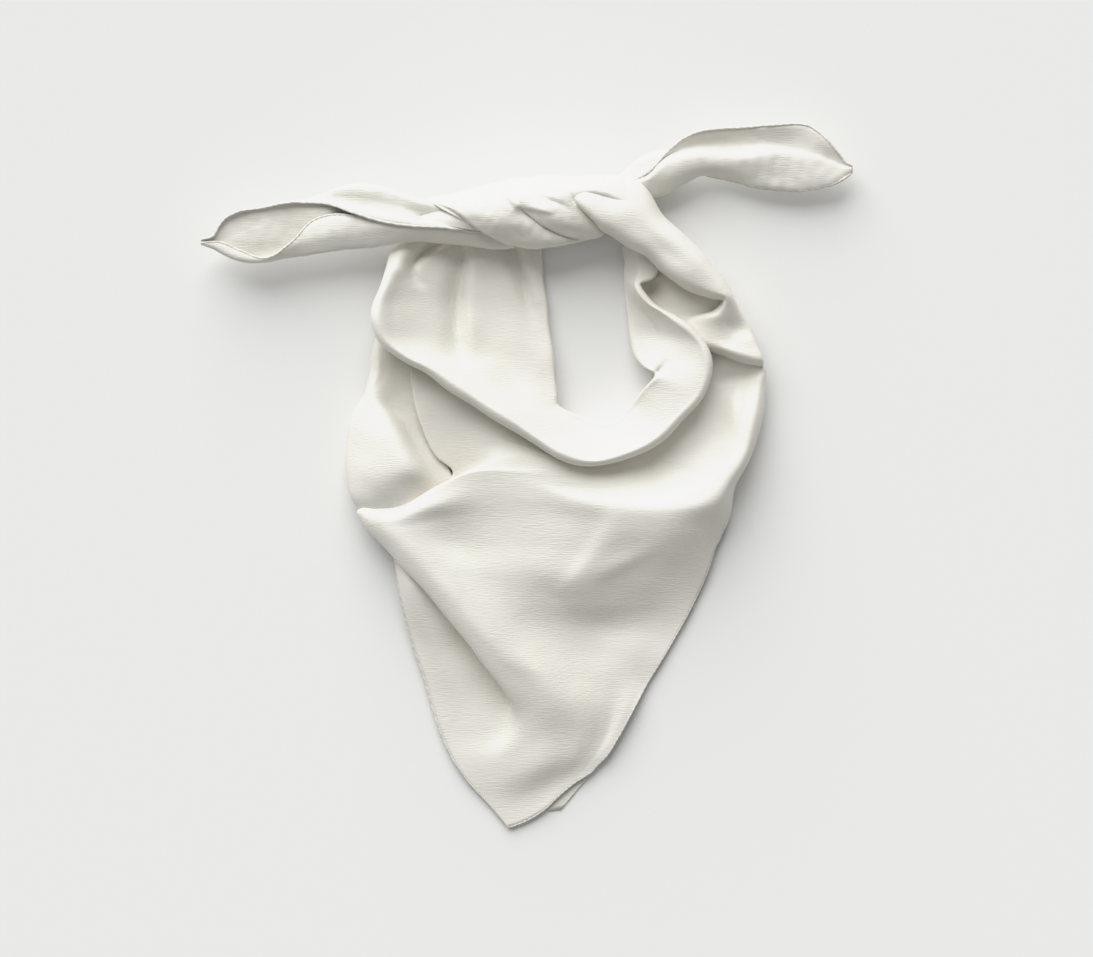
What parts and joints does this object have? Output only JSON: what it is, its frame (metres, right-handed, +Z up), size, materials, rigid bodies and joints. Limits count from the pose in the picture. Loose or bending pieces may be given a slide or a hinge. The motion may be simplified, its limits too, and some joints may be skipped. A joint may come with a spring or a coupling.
{
  "type": "silk neckerchief",
  "caption": "Square silk neckerchief folded on the diagonal and tied in a twisted half knot, lying flat with its pointed bib and two hemmed tails.",
  "frame": {"origin": "on the surface that the scarf lies on, under the middle of its box", "axes": "+Z up from the surface, +Y from the bib's point towards the knot, +X towards the right-hand tail as seen from above"},
  "size_m": [0.3238, 0.3533, 0.0327],
  "materials": {
    "silk": "soft satin, fine crosswise rib",
    "silk_inside": "soft satin, in the folds' shade",
    "rolled_hem": "rolled and slip-stitched"
  },
  "bodies": {
    "root": {"bib_front": "silk", "bib_back": "silk_inside", "side_lobe": "silk", "left_fall": "silk", "neck_roll": "silk", "right_fall": "silk", "right_band": "silk", "left_tail": "silk", "right_tail": "silk", "knot_wrap_left": "silk", "knot_wrap_middle": "silk", "knot_core": "silk_inside", "bib_left_hem": "rolled_hem", "bib_tip_hem": "rolled_hem", "bib_right_hem": "rolled_hem", "left_tail_back_hem": "rolled_hem", "left_tail_front_hem": "rolled_hem", "right_tail_lower_hem": "rolled_hem", "right_tail_upper_hem": "rolled_hem"}
  },
  "joints": []
}
